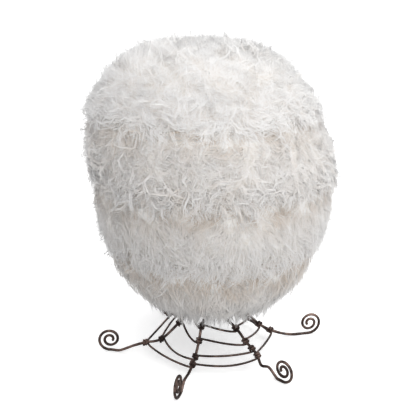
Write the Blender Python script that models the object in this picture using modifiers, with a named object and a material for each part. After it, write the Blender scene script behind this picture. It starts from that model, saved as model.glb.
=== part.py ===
"""Shaggy white Turkmen telpek hat on a dark display stand of bent wire.

Metres, +Z up, and -Y is the side that faces the viewer. The origin is on the floor under the
middle of the hat. The hat is a soft sheepskin hide, hollow and open below, with four tiers of
wool on it. The stand has six wire legs with spiral feet, a ring and a spiral of web wire wound
round the legs, a collar that holds the legs' upper ends, and a plain post under the crown.
"""

import math
import random
from collections import namedtuple

import bmesh
import bpy
from mathutils import Vector

# Hide
HEAD_RADIUS = 0.0925
HIDE_WALL = 0.0025
RIM_HEIGHT = 0.105
HIDE_HEIGHT = 0.235
CROWN_CORNER = 0.050
CROWN_RISE = 0.003

# Wool
WOOL_RADIUS = 0.1425
WOOL_BOTTOM = 0.064
WOOL_HEIGHT = 0.318
LOCK_DEPTH = 0.009
TIER_TUCK = 0.009
LEAN = 0.0144
SHOULDER_SWELL = 0.009
SWELL_DEPTH = 0.030

# Stand
STAND_RADIUS = 0.117
STAND_SHIFT = -0.0035
HUB_HEIGHT = 0.070
LEG_WIRE = 0.0034
WEB_WIRE = 0.0026
CURL_RADIUS = 0.0145
CURL_INNER = 0.0036
CURL_TIGHTENING = 1.2
CURL_TURNS = 1.85
WEB_SAG = 0.015
POST_RADIUS = 0.0045
SADDLE_RADIUS = 0.030
SADDLE_THICKNESS = 0.004
COLLAR_WALL = 0.0022
COLLAR_HEIGHT = 0.008

GAP = 0.0003
ROUND_STEPS = 24
WRAP_STEPS = 8

CROWN_TOP = RIM_HEIGHT + HIDE_HEIGHT
HIDE_RADIUS = HEAD_RADIUS + HIDE_WALL
GRIP_RADIUS = POST_RADIUS + GAP + LEG_WIRE / 2 / math.cos(math.pi / 6)
WIRE_REST = LEG_WIRE / 2 * math.cos(math.pi / 6)

# The wool's outline: height as a share of WOOL_HEIGHT, radius as a share of WOOL_RADIUS.
Section = namedtuple("Section", "height radius")
WOOL_OUTLINE = [
    Section(0.00, 0.40),
    Section(0.04, 0.58),
    Section(0.11, 0.76),
    Section(0.20, 0.87),
    Section(0.31, 0.95),
    Section(0.43, 0.995),
    Section(0.56, 1.00),
    Section(0.68, 0.955),
    Section(0.79, 0.885),
    Section(0.89, 0.745),
    Section(0.96, 0.57),
    Section(0.99, 0.36),
    Section(1.00, 0.00),
]

# The tiers: low and high are shares of WOOL_HEIGHT, width is a lock's share of its place in the
# row, and flick is how far its tip stands out as a share of WOOL_RADIUS.
Tier = namedtuple("Tier", "name low high locks width flick")
TIERS = [
    Tier("lower_fleece", 0.000, 0.265, 18, 0.86, 0.000),
    Tier("middle_fleece", 0.273, 0.520, 20, 0.86, 0.000),
    Tier("upper_fleece", 0.528, 0.765, 20, 0.90, 0.024),
    Tier("crown_fleece", 0.773, 1.000, 14, 0.90, 0.000),
]

# A leg's wire. Its bends give the radius as a share of STAND_RADIUS and the height above the
# foot's wire as a share of HUB_HEIGHT: the run bends lie on the way to the foot, outermost first,
# and the web is wound on at the knots, outermost first. Turn is in degrees from +X towards the
# viewer, splay is how many degrees the foot turns further, and reach is the spiral's middle as
# a share of STAND_RADIUS.
Bend = namedtuple("Bend", "radius height")
Leg = namedtuple("Leg", "name turn splay reach run knots")
LEGS = [
    Leg("leg_a", 166.4, 7.6, 1.05, [Bend(0.92, 0.03), Bend(0.81, 0.12)],
        [Bend(0.69, 0.19), Bend(0.52, 0.22), Bend(0.33, 0.50), Bend(0.23, 0.68)]),
    Leg("leg_b", 106.4, 0.0, 1.07, [Bend(0.89, 0.12), Bend(0.74, 0.12)],
        [Bend(0.61, 0.17), Bend(0.52, 0.23), Bend(0.39, 0.42), Bend(0.30, 0.62)]),
    Leg("leg_c", 46.4, 0.0, 1.04, [Bend(0.85, 0.13), Bend(0.745, 0.10)],
        [Bend(0.69, 0.25), Bend(0.61, 0.33), Bend(0.52, 0.41), Bend(0.38, 0.57)]),
    Leg("leg_d", -13.6, 0.0, 1.11, [Bend(0.91, 0.01), Bend(0.79, 0.06)],
        [Bend(0.67, 0.15), Bend(0.54, 0.29), Bend(0.41, 0.50)]),
    Leg("leg_f", -73.6, 0.0, 1.07, [Bend(0.89, 0.05), Bend(0.79, 0.10)],
        [Bend(0.66, 0.18), Bend(0.53, 0.29), Bend(0.40, 0.47)]),
    Leg("leg_e", -133.6, 13.0, 1.06, [Bend(0.88, 0.04), Bend(0.78, 0.11)],
        [Bend(0.655, 0.21), Bend(0.53, 0.29), Bend(0.40, 0.46)]),
]

# A web wire's stops: the leg and its knot, and how strongly the wire swings sideways as it
# leaves this stop and as it arrives at the next one, as shares of the span between them.
Stop = namedtuple("Stop", "leg knot leave arrive")
WEB_RING = [
    Stop("leg_a", 0, 0.45, 0.50),
    Stop("leg_b", 0, 1.00, 1.00),
    Stop("leg_c", 0, 0.10, 0.20),
    Stop("leg_d", 0, 0.70, 0.70),
    Stop("leg_f", 0, 0.70, 0.70),
    Stop("leg_e", 0, 0.15, 0.10),
]
WEB_SPIRAL = [
    Stop("leg_a", 3, 0.60, 0.60),
    Stop("leg_b", 3, 0.55, 0.60),
    Stop("leg_c", 3, 0.80, 0.10),
    Stop("leg_d", 2, 0.70, 0.70),
    Stop("leg_f", 2, 0.70, 0.70),
    Stop("leg_e", 2, 0.70, 0.60),
    Stop("leg_a", 2, 0.90, 0.80),
    Stop("leg_b", 2, 0.60, 0.50),
    Stop("leg_c", 2, 0.90, 0.10),
    Stop("leg_d", 1, 0.70, 0.70),
    Stop("leg_f", 1, 0.70, 0.70),
    Stop("leg_e", 1, 0.60, 0.40),
    Stop("leg_a", 1, 1.00, 1.00),
    Stop("leg_b", 1, 0.80, 0.30),
    Stop("leg_c", 1, 0.0, 0.0),
]


def clear_scene():
    """Remove everything from the startup scene."""
    for obj in list(bpy.data.objects):
        bpy.data.objects.remove(obj, do_unlink=True)


def collection(name):
    """A new collection in the scene."""
    made = bpy.data.collections.new(name)
    bpy.context.scene.collection.children.link(made)
    return made


def material(name, colour, roughness, metallic=0.0):
    """A plain Principled material."""
    made = bpy.data.materials.new(name)
    made.use_nodes = True
    shader = made.node_tree.nodes["Principled BSDF"]
    shader.inputs["Base Color"].default_value = (*colour, 1.0)
    shader.inputs["Roughness"].default_value = roughness
    shader.inputs["Metallic"].default_value = metallic
    return made


def linked(name, data, group):
    """A new object of this data, in this collection."""
    obj = bpy.data.objects.new(name, data)
    group.objects.link(obj)
    return obj


def between(points, steps):
    """A smooth curve (Catmull-Rom) through all points but the first and last, which only steer it."""
    curve = []
    for before, start, end, after in zip(points, points[1:], points[2:], points[3:]):
        for step in range(steps):
            t = step / steps
            curve.append(
                0.5 * (2 * start + (end - before) * t
                       + (2 * before - 5 * start + 4 * end - after) * t ** 2
                       + (3 * start - before - 3 * end + after) * t ** 3)
            )
    curve.append(points[-2].copy())
    return curve


def tube(name, points, diameter, group, finish, closed=False):
    """A round wire along these points."""
    curve = bpy.data.curves.new(name, "CURVE")
    curve.dimensions = "3D"
    curve.twist_mode = "Z_UP"
    curve.bevel_depth = diameter / 2
    curve.bevel_resolution = 1
    curve.use_fill_caps = not closed
    spline = curve.splines.new("POLY")
    spline.points.add(len(points) - 1)
    for slot, point in zip(spline.points, points):
        slot.co = (*point, 1.0)
    spline.use_cyclic_u = closed
    spline.use_smooth = True
    curve.materials.append(finish)
    return linked(name, curve, group)


def turned(name, profile, group, finish, wall=0.0):
    """A profile of (radius, height), top to bottom on its outer side, turned round the Z axis."""
    mesh = bpy.data.meshes.new(name)
    edges = [(i, i + 1) for i in range(len(profile) - 1)]
    if profile[0][0] > 0 and not wall:
        edges.append((len(profile) - 1, 0))
    mesh.from_pydata([(radius, 0.0, height) for radius, height in profile], edges, [])
    mesh.materials.append(finish)
    obj = linked(name, mesh, group)
    screw = obj.modifiers.new("turn", "SCREW")
    screw.angle = math.tau
    screw.steps = ROUND_STEPS
    screw.render_steps = ROUND_STEPS
    screw.use_merge_vertices = True
    screw.merge_threshold = 0.00005
    screw.use_smooth_shade = True
    if wall:
        shell = obj.modifiers.new("wall", "SOLIDIFY")
        shell.thickness = wall
        shell.offset = -1.0
        shell.use_even_offset = True
    return obj


def as_mesh(obj):
    """Replace an object's mesh by the one that its modifiers make."""
    bpy.context.view_layer.update()
    graph = bpy.context.evaluated_depsgraph_get()
    made = bpy.data.meshes.new_from_object(obj.evaluated_get(graph))
    obj.modifiers.clear()
    obj.data = made


def lean_start():
    """The height of the upper tier's lower edge, above which the hat leans."""
    return outline_point(TIERS[2].low, LOCK_DEPTH + TIER_TUCK)[1]


def lean_at(height):
    """How far the hat has leaned to the viewer's left at a height."""
    start = lean_start()
    return LEAN * max(0.0, height - start) / (WOOL_BOTTOM + WOOL_HEIGHT - start)


def swell_at(point):
    """How far the wool swells to the viewer's left at its shoulder: most halfway up the lean and
    at the far left, and not at all on the hide."""
    radius = max(math.hypot(point.x, point.y), HIDE_WALL)
    rise = min(max(lean_at(point.z) / LEAN, 0.0), 1.0)
    left = max(-point.x / radius, 0.0) ** 2
    loose = min(max(hide_distance(radius, point.z) / SWELL_DEPTH, 0.0), 1.0)
    return SHOULDER_SWELL * math.sin(math.pi * rise) * left * loose


def lean(obj):
    """Let an object of the hat lean, and its wool swell, to the viewer's left."""
    for vertex in obj.data.vertices:
        vertex.co.x -= lean_at(vertex.co.z) + swell_at(vertex.co)


def corner(radius, height, size, first, last, steps):
    """Points of an arc whose centre is (radius, height), between two angles in degrees."""
    angles = [math.radians(first + (last - first) * i / steps) for i in range(steps + 1)]
    return [(radius + size * math.cos(a), height + size * math.sin(a)) for a in angles]


def hide_profile(margin=0.0):
    """The hide's outer side from the crown's middle down to the rim, moved out by a margin."""
    crown = [(0.0, CROWN_TOP + margin)]
    shoulder = corner(HIDE_RADIUS - CROWN_CORNER, CROWN_TOP - CROWN_RISE - CROWN_CORNER,
                      CROWN_CORNER + margin, 90, 0, 3)
    side = HIDE_RADIUS + margin
    return crown + shoulder + [(side, lean_start()), (side, RIM_HEIGHT)]


def outline_point(share, depth=0.0):
    """(radius, height) on the wool's outline at a share of its height, moved inwards by a depth."""
    sections = [Vector(section) for section in WOOL_OUTLINE]
    index = max(i for i, section in enumerate(sections[:-1]) if section.x <= share + 1e-9)
    low, high = sections[index], sections[index + 1]
    here = low.lerp(high, (share - low.x) / (high.x - low.x))
    before, after = sections[max(index - 1, 0)], sections[min(index + 2, len(sections) - 1)]
    slope = Vector(((after.y - before.y) * WOOL_RADIUS, (after.x - before.x) * WOOL_HEIGHT))
    inwards = Vector((-slope.y, slope.x)).normalized()
    radius = here.y * WOOL_RADIUS + inwards.x * depth
    return max(radius, 0.0), WOOL_BOTTOM + here.x * WOOL_HEIGHT + inwards.y * depth


def wall_tier_profile(tier):
    """A band round the hide's wall: a bulging outer side, tucked in at its top and bottom edges."""
    reach = tier.high - tier.low
    back = HIDE_RADIUS + GAP
    outer = [outline_point(tier.low + reach * share, LOCK_DEPTH + tuck)
             for share, tuck in ((1.0, TIER_TUCK), (0.86, 0.0), (0.5, 0.0), (0.14, 0.0), (0.0, TIER_TUCK))]
    return [(back, outer[0][1])] + outer + [(back, outer[-1][1])]


def lower_tier_profile(tier):
    """The lowest band, whose wool rolls in under the hide's rim."""
    reach = tier.high - tier.low
    steps = ((1.0, LOCK_DEPTH + TIER_TUCK), (0.82, LOCK_DEPTH), (0.5, LOCK_DEPTH * 0.7),
             (0.2, LOCK_DEPTH * 0.3), (0.03, LOCK_DEPTH * 0.2))
    outer = [outline_point(tier.low + reach * share, depth) for share, depth in steps]
    below = RIM_HEIGHT - WOOL_BOTTOM
    roll = [(HEAD_RADIUS * 0.64, RIM_HEIGHT - below * 0.5),
            (HEAD_RADIUS * 0.80, RIM_HEIGHT - below * 0.1),
            (HIDE_RADIUS + GAP, RIM_HEIGHT - GAP)]
    return [(HIDE_RADIUS + GAP, outer[0][1])] + outer + roll


def crown_tier_profile(tier):
    """The dome of wool on the crown, with its underside following the hide."""
    reach = tier.high - tier.low
    steps = ((0.97, 0.1), (0.84, 0.3), (0.6, 1.0), (0.35, 1.0), (0.14, 1.0))
    outer = [(0.0, WOOL_BOTTOM + WOOL_HEIGHT)]
    outer += [outline_point(tier.low + reach * share, LOCK_DEPTH * depth) for share, depth in steps]
    outer.append(outline_point(tier.low, LOCK_DEPTH + TIER_TUCK))
    edge = outer[-1][1]
    side = hide_profile(GAP)
    under = [point for point in side if point[1] > edge]
    upper, lower = side[len(under) - 1], side[len(under)]
    share = (upper[1] - edge) / (upper[1] - lower[1])
    inner = upper[0] + (lower[0] - upper[0]) * share
    return outer + [(inner, edge)] + under[::-1]


def lock_sections(tier, index, chance):
    """The three-cornered sections of one lock, from its root in the wool down to its tip."""
    turn = math.tau * (index + chance.uniform(-0.05, 0.05)) / tier.locks
    width = math.tau / tier.locks * tier.width * chance.uniform(0.9, 1.05)
    reach = tier.high - tier.low
    top = tier.low + reach * chance.uniform(0.84, 0.9)
    if tier.high == 1.0:
        top = tier.low + reach * chance.uniform(0.90, 0.94)
    tip = tier.low + reach * chance.uniform(0.0, 0.05)
    sway = width * chance.uniform(-0.25, 0.25)
    # Along the lock: share of the way, depth of its ridge and of its edges, width, side sway.
    steps = ((0.0, 1.3, 1.8, 0.55, 0.0), (0.28, 0.0, 1.2, 1.0, 0.1),
             (0.68, 0.0, 1.2, 0.82, 0.6), (1.0, 0.0, 0.5, 0.12, 1.0))
    sections = []
    for along, ridge, edge, wide, swing in steps:
        share = top + (tip - top) * along
        rise = tier.flick * WOOL_RADIUS * along ** 4
        crest = outline_point(share, LOCK_DEPTH * ridge - rise)
        side = outline_point(share, min(LOCK_DEPTH * edge, 0.6 * wool_depth(share)) - rise)
        here = turn + sway * swing
        sections.append([
            hat_point(here, *crest),
            hat_point(here + width * wide / 2, *side),
            hat_point(here - width * wide / 2, *side),
        ])
    return sections


def hide_distance(radius, height):
    """How far a place is from the hide's outer side and its rounded crown."""
    across = max(radius - (HIDE_RADIUS - CROWN_CORNER), 0.0)
    above = max(height - (CROWN_TOP - CROWN_RISE - CROWN_CORNER), 0.0)
    return math.hypot(across, above) - CROWN_CORNER


def wool_depth(share):
    """How deep the wool is between its outline and the hide at a share of its height."""
    return max(hide_distance(*outline_point(share)), LOCK_DEPTH)


def hat_point(turn, radius, height):
    """A point at a turn in radians round the hat, a radius and a height."""
    return Vector((radius * math.cos(turn), -radius * math.sin(turn), height))


def locks_object(tier, group, finish):
    """One mesh of a tier's locks, each a closed three-sided taper that clears its neighbours."""
    chance = random.Random(tier.name)
    work = bmesh.new()
    for index in range(tier.locks):
        rings = [[work.verts.new(point) for point in section]
                 for section in lock_sections(tier, index, chance)]
        work.faces.new(rings[0])
        work.faces.new(rings[-1][::-1])
        for upper, lower in zip(rings, rings[1:]):
            for i in range(3):
                work.faces.new((upper[i], upper[i - 1], lower[i - 1], lower[i]))
    bmesh.ops.recalc_face_normals(work, faces=work.faces)
    mesh = bpy.data.meshes.new(tier.name + "_locks")
    work.to_mesh(mesh)
    work.free()
    mesh.materials.append(finish)
    obj = linked(tier.name + "_locks", mesh, group)
    obj.hide_render = True
    obj.display_type = "WIRE"
    return obj


def fleece(tier, profile, group, cutters, finish):
    """A tier of wool: its turned core with the locks fused on."""
    core = turned(tier.name, profile(tier), group, finish)
    locks = locks_object(tier, cutters, finish)
    fuse = core.modifiers.new("locks", "BOOLEAN")
    fuse.operation = "UNION"
    fuse.object = locks
    as_mesh(core)
    bpy.data.objects.remove(locks, do_unlink=True)
    lean(core)
    return core


def hide(group, finish):
    """The soft leather wall and crown, hollow and open at the rim."""
    skin = turned("hide", hide_profile(), group, finish, wall=HIDE_WALL)
    as_mesh(skin)
    lean(skin)
    return skin


def stand_point(turn, radius, height):
    """A point of the stand at a turn in degrees, a radius from its axis and a height."""
    angle = math.radians(turn)
    return Vector((STAND_SHIFT + radius * math.cos(angle), -radius * math.sin(angle), height))


def bend_point(leg, bend):
    """Where a leg's wire passes one of its bends, with its splay growing towards the foot."""
    inner = leg.knots[0].radius
    splayed = max(0.0, (bend.radius - inner) / (leg.reach - inner))
    return stand_point(leg.turn + leg.splay * splayed, bend.radius * STAND_RADIUS,
                       WIRE_REST + bend.height * HUB_HEIGHT)


def leg_route(leg):
    """The bends of a leg from its top to the start of its spiral, with a steering point at each end."""
    high = WIRE_REST + HUB_HEIGHT
    top = stand_point(leg.turn, GRIP_RADIUS, high)
    grip = stand_point(leg.turn, GRIP_RADIUS, high - 1.4 * COLLAR_HEIGHT)
    shoulder = stand_point(leg.turn, 1.7 * GRIP_RADIUS, high - 2.2 * COLLAR_HEIGHT)
    bends = [bend_point(leg, bend) for bend in leg.knots[::-1] + leg.run[::-1]]
    contact = bend_point(leg, Bend(leg.reach - 0.6 * CURL_RADIUS / STAND_RADIUS, 0.0))
    foot = curl_points(leg)
    return [2 * top - grip, top, grip, shoulder] + bends + [contact, foot[0], foot[1]]


def curl_points(leg):
    """The upright spiral of a foot: out along the floor, up, back over and inwards."""
    steps = round(CURL_TURNS * WRAP_STEPS)
    points = []
    for step in range(steps + 1):
        share = step / steps
        swung = math.tau * CURL_TURNS * share
        reach = CURL_INNER + (CURL_RADIUS - CURL_INNER) * (1 - share) ** CURL_TIGHTENING
        points.append(stand_point(leg.turn + leg.splay,
                                  leg.reach * STAND_RADIUS + reach * math.sin(swung),
                                  WIRE_REST + CURL_RADIUS - reach * math.cos(swung)))
    return points


def knot_frame(leg, number):
    """A knot's centre, the leg's direction up its wire, sideways round the web, and over the wire."""
    route = leg_route(leg)
    place = 4 + len(leg.knots) - 1 - number
    along = (route[place - 1] - route[place + 1]).normalized()
    angle = math.radians(leg.turn)
    sideways = Vector((math.sin(angle), math.cos(angle), 0.0))
    return route[place], along, sideways, along.cross(sideways)


def wrap_points(stop):
    """One full turn of web wire round a leg, coming and going over its upper side."""
    centre, along, sideways, over = knot_frame(leg_named(stop.leg), stop.knot)
    reach = (LEG_WIRE / 2 + WEB_WIRE / 2 + GAP) / math.cos(math.pi / WRAP_STEPS)
    pitch = WEB_WIRE + 2 * GAP
    points = []
    for step in range(WRAP_STEPS + 1):
        share = step / WRAP_STEPS
        angle = math.pi / 2 - math.tau * share
        around = sideways * math.cos(angle) + over * math.sin(angle)
        points.append(centre + around * reach + along * pitch * (share - 0.5))
    return points


def leg_named(name):
    """The leg of this name."""
    return next(leg for leg in LEGS if leg.name == name)


def span_points(stop, following):
    """The web wire between two stops: a curve that swings sideways at both and sags a little."""
    start, end = wrap_points(stop)[-1], wrap_points(following)[0]
    run = (end - start).length
    leave = knot_frame(leg_named(stop.leg), stop.knot)[2] * run * stop.leave
    arrive = knot_frame(leg_named(following.leg), following.knot)[2] * run * stop.arrive
    points = []
    for share in (0.2, 0.5, 0.8):
        a, b = share ** 2, share ** 3
        point = ((2 * b - 3 * a + 1) * start + (b - 2 * a + share) * leave
                 + (3 * a - 2 * b) * end + (b - a) * arrive)
        point.z = max(point.z - WEB_SAG * run * math.sin(math.pi * share) ** 2, WEB_WIRE)
        points.append(point)
    return points


def web_wire(name, stops, group, finish, closed):
    """One web wire, wound once round the leg at each of its stops."""
    points = []
    for stop, following in zip(stops, stops[1:] + stops[:1]):
        points += wrap_points(stop)
        if closed or stop is not stops[-1]:
            points += span_points(stop, following)
    return tube(name, points, WEB_WIRE, group, finish, closed)


def leg_wire(leg, group, finish):
    """One leg: from the collar down over its knots to the spiral foot."""
    points = between(leg_route(leg), 2)[:-1] + curl_points(leg)
    for point in points:
        point.z = max(point.z, WIRE_REST)
    return tube(leg.name, points, LEG_WIRE, group, finish)


def leg_collar(group, finish):
    """The band round the legs' upper ends."""
    inner = GRIP_RADIUS + LEG_WIRE / 2 + GAP
    top = WIRE_REST + HUB_HEIGHT - GAP
    inner /= math.cos(math.pi / ROUND_STEPS)
    outer = inner + COLLAR_WALL
    obj = turned("leg_collar", [(inner, top), (outer, top), (outer, top - COLLAR_HEIGHT),
                                (inner, top - COLLAR_HEIGHT)], group, finish)
    obj.location.x = STAND_SHIFT
    return obj


def post(group, finish):
    """The plain hidden post, from between the legs' tops to a saddle under the crown."""
    low = WIRE_REST + HUB_HEIGHT - 2 * COLLAR_HEIGHT
    crown_slope = CROWN_RISE / (HIDE_RADIUS - CROWN_CORNER)
    reach = SADDLE_RADIUS + abs(lean_at(CROWN_TOP) + STAND_SHIFT)
    top = CROWN_TOP - crown_slope * reach - HIDE_WALL - GAP
    profile = [(0.0, top), (SADDLE_RADIUS, top), (SADDLE_RADIUS, top - SADDLE_THICKNESS),
               (POST_RADIUS, top - SADDLE_THICKNESS), (POST_RADIUS, low), (0.0, low)]
    obj = turned("post", profile, group, finish)
    obj.location.x = STAND_SHIFT
    return obj


def main():
    """Build the hat and its stand."""
    clear_scene()
    parts = collection("telpek_hat_on_stand")
    cutters = collection("cutters")
    wool = material("white_wool", (0.80, 0.77, 0.72), 0.95)
    leather = material("sheepskin_leather", (0.55, 0.42, 0.28), 0.85)
    wire = material("dark_wire", (0.060, 0.040, 0.032), 0.45, 0.7)
    profiles = [lower_tier_profile, wall_tier_profile, wall_tier_profile, crown_tier_profile]
    hide(parts, leather)
    for tier, profile in zip(TIERS, profiles):
        fleece(tier, profile, parts, cutters, wool)
    for leg in LEGS:
        leg_wire(leg, parts, wire)
    web_wire("web_ring", WEB_RING, parts, wire, closed=True)
    web_wire("web_spiral", WEB_SPIRAL, parts, wire, closed=False)
    leg_collar(parts, wire)
    post(parts, wire)


main()
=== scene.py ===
"""White long-haired sheepskin telpek on a dark bent-wire web stand: its looks.

Metres, +Z up, and -Y faces the viewer. The wool of each tier is an undercoat with real locks of
hair grown from it, worked out as whole arrays. The stand's wires repeat the routes of the solids.
"""

from __future__ import annotations

import logging
import math
from dataclasses import dataclass, field
from enum import Enum
from typing import NamedTuple, Sequence

import bpy
import numpy as np
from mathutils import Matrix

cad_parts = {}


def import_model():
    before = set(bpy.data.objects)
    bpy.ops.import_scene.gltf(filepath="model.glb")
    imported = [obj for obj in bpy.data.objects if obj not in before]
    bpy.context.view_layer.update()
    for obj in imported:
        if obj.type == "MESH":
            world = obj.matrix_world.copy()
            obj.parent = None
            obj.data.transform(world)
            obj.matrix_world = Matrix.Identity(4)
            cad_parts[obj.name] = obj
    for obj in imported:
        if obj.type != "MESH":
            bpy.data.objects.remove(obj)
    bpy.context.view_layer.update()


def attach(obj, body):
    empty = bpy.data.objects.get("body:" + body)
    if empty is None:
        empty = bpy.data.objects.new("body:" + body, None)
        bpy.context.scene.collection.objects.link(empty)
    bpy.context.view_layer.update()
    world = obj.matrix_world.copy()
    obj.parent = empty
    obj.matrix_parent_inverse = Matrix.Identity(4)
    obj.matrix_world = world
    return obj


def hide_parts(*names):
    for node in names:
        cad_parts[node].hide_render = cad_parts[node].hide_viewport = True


LOG = logging.getLogger("telpek")
BODY = "root"
GOLDEN_ANGLE = math.pi * (3.0 - math.sqrt(5.0))
GAP = 0.0003
WIRE_FLAT = math.cos(math.pi / 6)
WIRE_DOME = 0.5
# Spans that a strand's length and width and a lock's waves and swing are drawn from, as shares.
LENGTHS, WIDTHS = (0.72, 1.08), (0.7, 1.25)
WAVES, SWINGS = (0.75, 1.25), (0.6, 1.2)
# How far roots, headings and strands stray: radians round the hat, metres, a share and radians.
TURN_STRAY, ARC_STRAY, HEADING_STRAY, ROLL_STRAY = 0.03, 0.002, 0.6, 0.35

Tone = tuple[float, float, float]
Mesh = tuple[np.ndarray, np.ndarray]


class Slot(Enum):
    """The record's material slots."""

    WOOL = "white_wool"
    HIDE = "sheepskin_leather"
    WIRE = "dark_wire"


class Comb(Enum):
    """Which way a coat's locks turn: any way at all, or down the hat with some stray."""

    FLUFFED = "fluffed"
    COMBED = "combed"


def unit(vectors: np.ndarray) -> np.ndarray:
    """Scale vectors along the last axis to length one."""
    length = np.linalg.norm(vectors, axis=-1, keepdims=True)
    return vectors / np.maximum(length, 1e-12)


def smooth_through(points: np.ndarray, steps: int) -> np.ndarray:
    """Read a smooth curve through points (Catmull-Rom: cubic spans whose slope at a point is half
    the chord of its neighbours).

    Args:
        points: The points, of which the first and last only steer the curve.
        steps: How many points each span gets.

    Returns:
        The curve's points, from the second point to the last but one.
    """
    before, start, end, after = points[:-3], points[1:-2], points[2:-1], points[3:]
    t = (np.arange(steps) / steps)[None, :, None]
    before, start, end, after = (p[:, None, :] for p in (before, start, end, after))
    curve = 0.5 * (2 * start + (end - before) * t
                   + (2 * before - 5 * start + 4 * end - after) * t ** 2
                   + (3 * start - before - 3 * end + after) * t ** 3)
    return np.vstack([curve.reshape(-1, points.shape[1]), points[-2:-1]])


def ripples(points: np.ndarray, size: float, seed: int, waves: int = 9) -> np.ndarray:
    """A soft random pattern in space: a sum of sine waves that run in random directions.

    Args:
        points: Places, with x, y, z on the last axis.
        size: The rough distance between the pattern's crests.
        seed: Which pattern.
        waves: How many waves are added.

    Returns:
        A value of about -1 to 1 for each place.
    """
    chance = np.random.default_rng(seed)
    heading = unit(chance.normal(size=(waves, 3)))
    rate = math.tau / size * chance.uniform(0.6, 1.3, waves)
    phase = chance.uniform(0, math.tau, waves)
    return np.sin(points @ (heading * rate[:, None]).T + phase).sum(-1) / math.sqrt(waves)


def lattice(rows: int, columns: int, wrap_rows: bool) -> np.ndarray:
    """Triangles of a grid whose columns close round, numbered row by row.

    Args:
        rows: Number of rows of points.
        columns: Number of points in a row.
        wrap_rows: Whether the last row joins the first.

    Returns:
        Point numbers of the triangles, three in each row.
    """
    row = np.arange(rows if wrap_rows else rows - 1)[:, None]
    column = np.arange(columns)[None, :]
    here, right = row * columns + column, row * columns + (column + 1) % columns
    below = (row + 1) % rows * columns
    down, across = below + column, below + (column + 1) % columns
    first = np.stack([here, down, across], -1).reshape(-1, 3)
    second = np.stack([here, across, right], -1).reshape(-1, 3)
    return np.vstack([first, second])


def capped(points: np.ndarray, triangles: np.ndarray, columns: int, ends: np.ndarray) -> Mesh:
    """Close a tube with a fan of triangles at each end.

    Args:
        points: The tube's points, row by row.
        triangles: Its triangles.
        columns: Number of points in a row.
        ends: The middle points of the fans on the first and the last row.

    Returns:
        Points and triangles of the closed surface.
    """
    first, last = len(points), len(points) - columns
    near = np.arange(columns)
    far = (near + 1) % columns
    fan = np.stack([np.full(columns, first), near, far], -1)
    last_fan = np.stack([np.full(columns, first + 1), last + far, last + near], -1)
    return np.vstack([points, ends]), np.vstack([triangles, fan, last_fan])


def turned(profile: np.ndarray, steps: int, axis_x: float = 0.0) -> Mesh:
    """Turn a profile round an upright axis.

    Args:
        profile: (radius, height) rows, which run down the outer side. Where the first and last
            have no radius they are poles, and otherwise the profile is a loop.
        steps: How many points a turn has.
        axis_x: The axis's place along X.

    Returns:
        Points and triangles of the closed surface.
    """
    angle = np.arange(steps) * math.tau / steps
    poles = profile[0, 0] == 0.0 and profile[-1, 0] == 0.0
    rows = profile[1:-1] if poles else profile
    ring = np.stack([np.cos(angle), np.sin(angle)], -1)
    points = np.empty((len(rows), steps, 3))
    points[..., :2] = rows[:, None, 0:1] * ring[None]
    points[..., 2] = rows[:, None, 1]
    points = points.reshape(-1, 3)
    triangles = lattice(len(rows), steps, wrap_rows=not poles)
    if poles:
        ends = np.array([[0.0, 0.0, profile[0, 1]], [0.0, 0.0, profile[-1, 1]]])
        points, triangles = capped(points, triangles, steps, ends)
    points[:, 0] += axis_x
    return points, triangles


def carried(path: np.ndarray, radius: np.ndarray, sides: int, closed: bool) -> Mesh:
    """Carry a circle along a path without twist, with domed ends where the path is open.

    The circle's frame at each station is any frame square to the path, turned back by the sum of
    the twists between stations, so the sides run straight along the wire.

    Args:
        path: The wire's middle line.
        radius: The wire's radius at each station.
        sides: How many sides it has.
        closed: Whether the path's end joins its start.

    Returns:
        Points and triangles of the closed surface.
    """
    if closed:
        along = unit(np.roll(path, -1, 0) - np.roll(path, 1, 0))
    else:
        along = unit(np.gradient(path, axis=0))
    rough = np.where(np.abs(along[:, 2:3]) < 0.8, [[0.0, 0.0, 1.0]], [[1.0, 0.0, 0.0]])
    first = unit(np.cross(along, rough))
    second = np.cross(along, first)
    half = unit(along[:-1] + along[1:])
    brought = first[:-1] - 2 * (first[:-1] * half).sum(-1, keepdims=True) * half
    brought = brought - 2 * (brought * along[1:]).sum(-1, keepdims=True) * along[1:]
    twist = np.arctan2((brought * second[1:]).sum(-1), (brought * first[1:]).sum(-1))
    twist = np.concatenate([[0.0], np.cumsum(twist)])
    angle = np.arange(sides) * math.tau / sides
    angle = angle[None, :, None] + twist[:, None, None]
    ring = np.cos(angle) * first[:, None] + np.sin(angle) * second[:, None]
    points = (path[:, None] + ring * radius[:, None, None]).reshape(-1, 3)
    triangles = lattice(len(path), sides, wrap_rows=closed)
    if closed:
        return points, triangles
    ends = np.array([path[0] - along[0] * radius[0] * WIRE_DOME,
                     path[-1] + along[-1] * radius[-1] * WIRE_DOME])
    return capped(points, triangles, sides, ends)


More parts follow.
